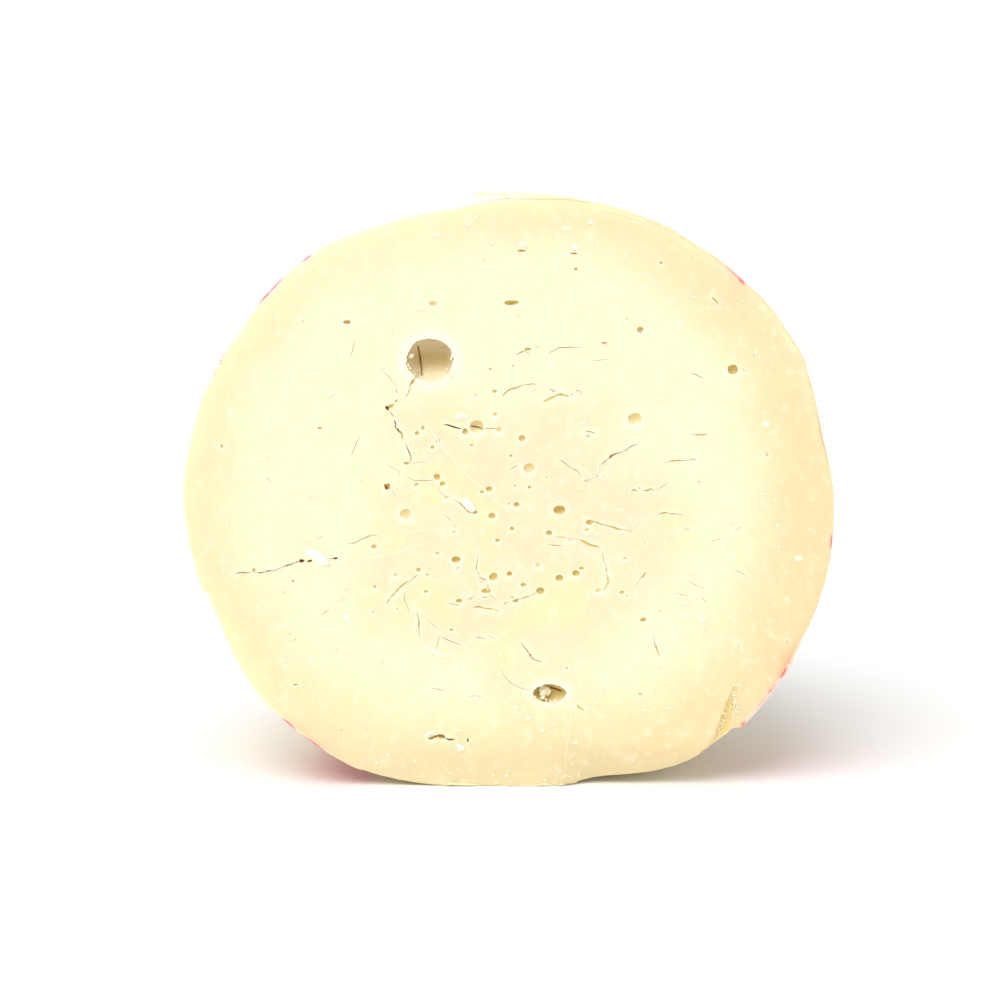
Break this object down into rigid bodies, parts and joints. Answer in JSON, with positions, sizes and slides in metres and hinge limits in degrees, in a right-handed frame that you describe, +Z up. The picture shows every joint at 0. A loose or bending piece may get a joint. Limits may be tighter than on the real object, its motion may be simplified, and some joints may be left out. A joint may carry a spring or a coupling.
{
  "type": "provolone cheese half",
  "caption": "Half of a large round hung cheese, cut face upright, with small eyes, short cracks and rope dents in a domed rind, resting on its flattened side.",
  "frame": {"origin": "middle of the bottom of the cheese's box, on the surface that it stands on", "axes": "+Z up from the flat spot that it rests on; the upright cut face looks along -Y and the domed rind closes towards +Y; +X is to the right when looking at the cut face"},
  "size_m": [0.2216, 0.1436, 0.2049],
  "materials": {
    "paste": "pale cream-yellow cheese paste, slightly oily, with a thin straw-coloured rind"
  },
  "bodies": {
    "root": {"provolone": "paste"}
  },
  "joints": []
}
